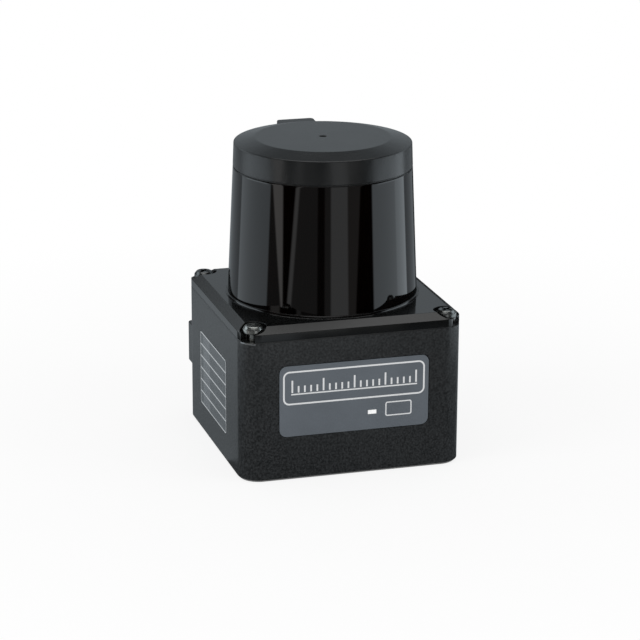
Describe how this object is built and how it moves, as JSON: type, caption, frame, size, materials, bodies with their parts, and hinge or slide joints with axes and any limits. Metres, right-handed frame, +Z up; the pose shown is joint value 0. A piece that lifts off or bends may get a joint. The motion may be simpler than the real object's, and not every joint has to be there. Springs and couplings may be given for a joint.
{
  "type": "lidar scanner module",
  "caption": "Compact scanning range finder: square black case with a bevelled screwed cover, a tapered glossy dark window, a matt cap and a spinning mirror inside.",
  "frame": {"origin": "centre of the mounting holes, in the plane of the case's underside", "axes": "+Z up along the dome's axis, -Y out of the front plate, +Y out of the rear connector block, +X to the right seen from the front"},
  "size_m": [0.068, 0.073, 0.095],
  "materials": {
    "case_paint": "fine textured matt black paint",
    "black_rubber": "matt black rubber",
    "screw_steel": "bright zinc-plated steel",
    "dark_steel": "blackened steel",
    "window_plastic": "polished black infrared-passing plastic",
    "cap_plastic": "fine matt charcoal plastic",
    "plate_grey": "satin mid grey with white line work",
    "label_grey": "satin grey film",
    "light_white": "milky white light guide",
    "socket_black": "black moulded nylon",
    "socket_cream": "cream moulded nylon",
    "contact_gold": "gold-plated contacts",
    "shell_steel": "bright tinned steel",
    "board_green": "green solder mask",
    "chip_black": "black epoxy packages",
    "spacer_brass": "turned brass",
    "flex_amber": "amber polyimide film",
    "frame_aluminium": "machined aluminium",
    "clear_glass": "coated clear glass",
    "core_steel": "laminated electrical steel",
    "coil_copper": "enamelled copper wire",
    "bearing_steel": "polished bearing steel",
    "mirror_silver": "front-surface mirror"
  },
  "bodies": {
    "case": {"lower_case": "case_paint", "top_cover": "case_paint", "case_gasket": "black_rubber", "window_seal": "black_rubber", "cap_seal": "black_rubber", "cover_screws": "screw_steel", "frame_screws": "screw_steel", "receiver_screws": "screw_steel", "laser_screws": "screw_steel", "block_screws": "dark_steel", "optical_window": "window_plastic", "top_cap": "cap_plastic", "rear_spine": "cap_plastic", "connector_block": "cap_plastic", "name_plate": "plate_grey", "side_label": "label_grey", "status_light_pipe": "light_white", "status_led": "light_white", "io_socket": "socket_black", "usb_tongue": "socket_black", "encoder_sensor": "socket_black", "lens_retainer": "socket_black", "flex_sockets": "socket_cream", "io_pins": "contact_gold", "usb_socket": "shell_steel", "photodiode": "shell_steel", "power_board": "board_green", "signal_board": "board_green", "receiver_board": "board_green", "laser_board": "board_green", "power_parts": "chip_black", "signal_parts": "chip_black", "lower_standoffs": "spacer_brass", "upper_standoffs": "spacer_brass", "laser_diode": "spacer_brass", "laser_flex": "flex_amber", "optical_frame": "frame_aluminium", "laser_holder": "frame_aluminium", "bearing_spacer": "frame_aluminium", "bearing_nut": "frame_aluminium", "receive_lens": "clear_glass", "collimator_lens": "clear_glass", "stator_core": "core_steel", "stator_coils": "coil_copper", "bearing_inner_rings": "bearing_steel"},
    "rotor": {"rotor_hub": "frame_aluminium", "rotor_magnet": "core_steel", "encoder_disc": "core_steel", "bearing_outer_rings": "bearing_steel", "mirror_tower": "socket_black", "tower_screws": "screw_steel", "emit_mirror": "mirror_silver", "receive_mirror": "mirror_silver"},
    "ball_cages": {"bearing_balls": "bearing_steel"}
  },
  "joints": [
    {"name": "scan_spin", "type": "hinge", "parent": "case", "child": "rotor", "pos_m": [0, 0, 0.04], "axis": [0, 0, 1], "continuous": true},
    {"name": "cage_spin", "type": "hinge", "parent": "case", "child": "ball_cages", "pos_m": [0, 0, 0.04], "axis": [0, 0, 1], "continuous": true}
  ],
  "couplings": [
    {"joint": "cage_spin", "follows": "scan_spin", "ratio": 0.5333}
  ]
}
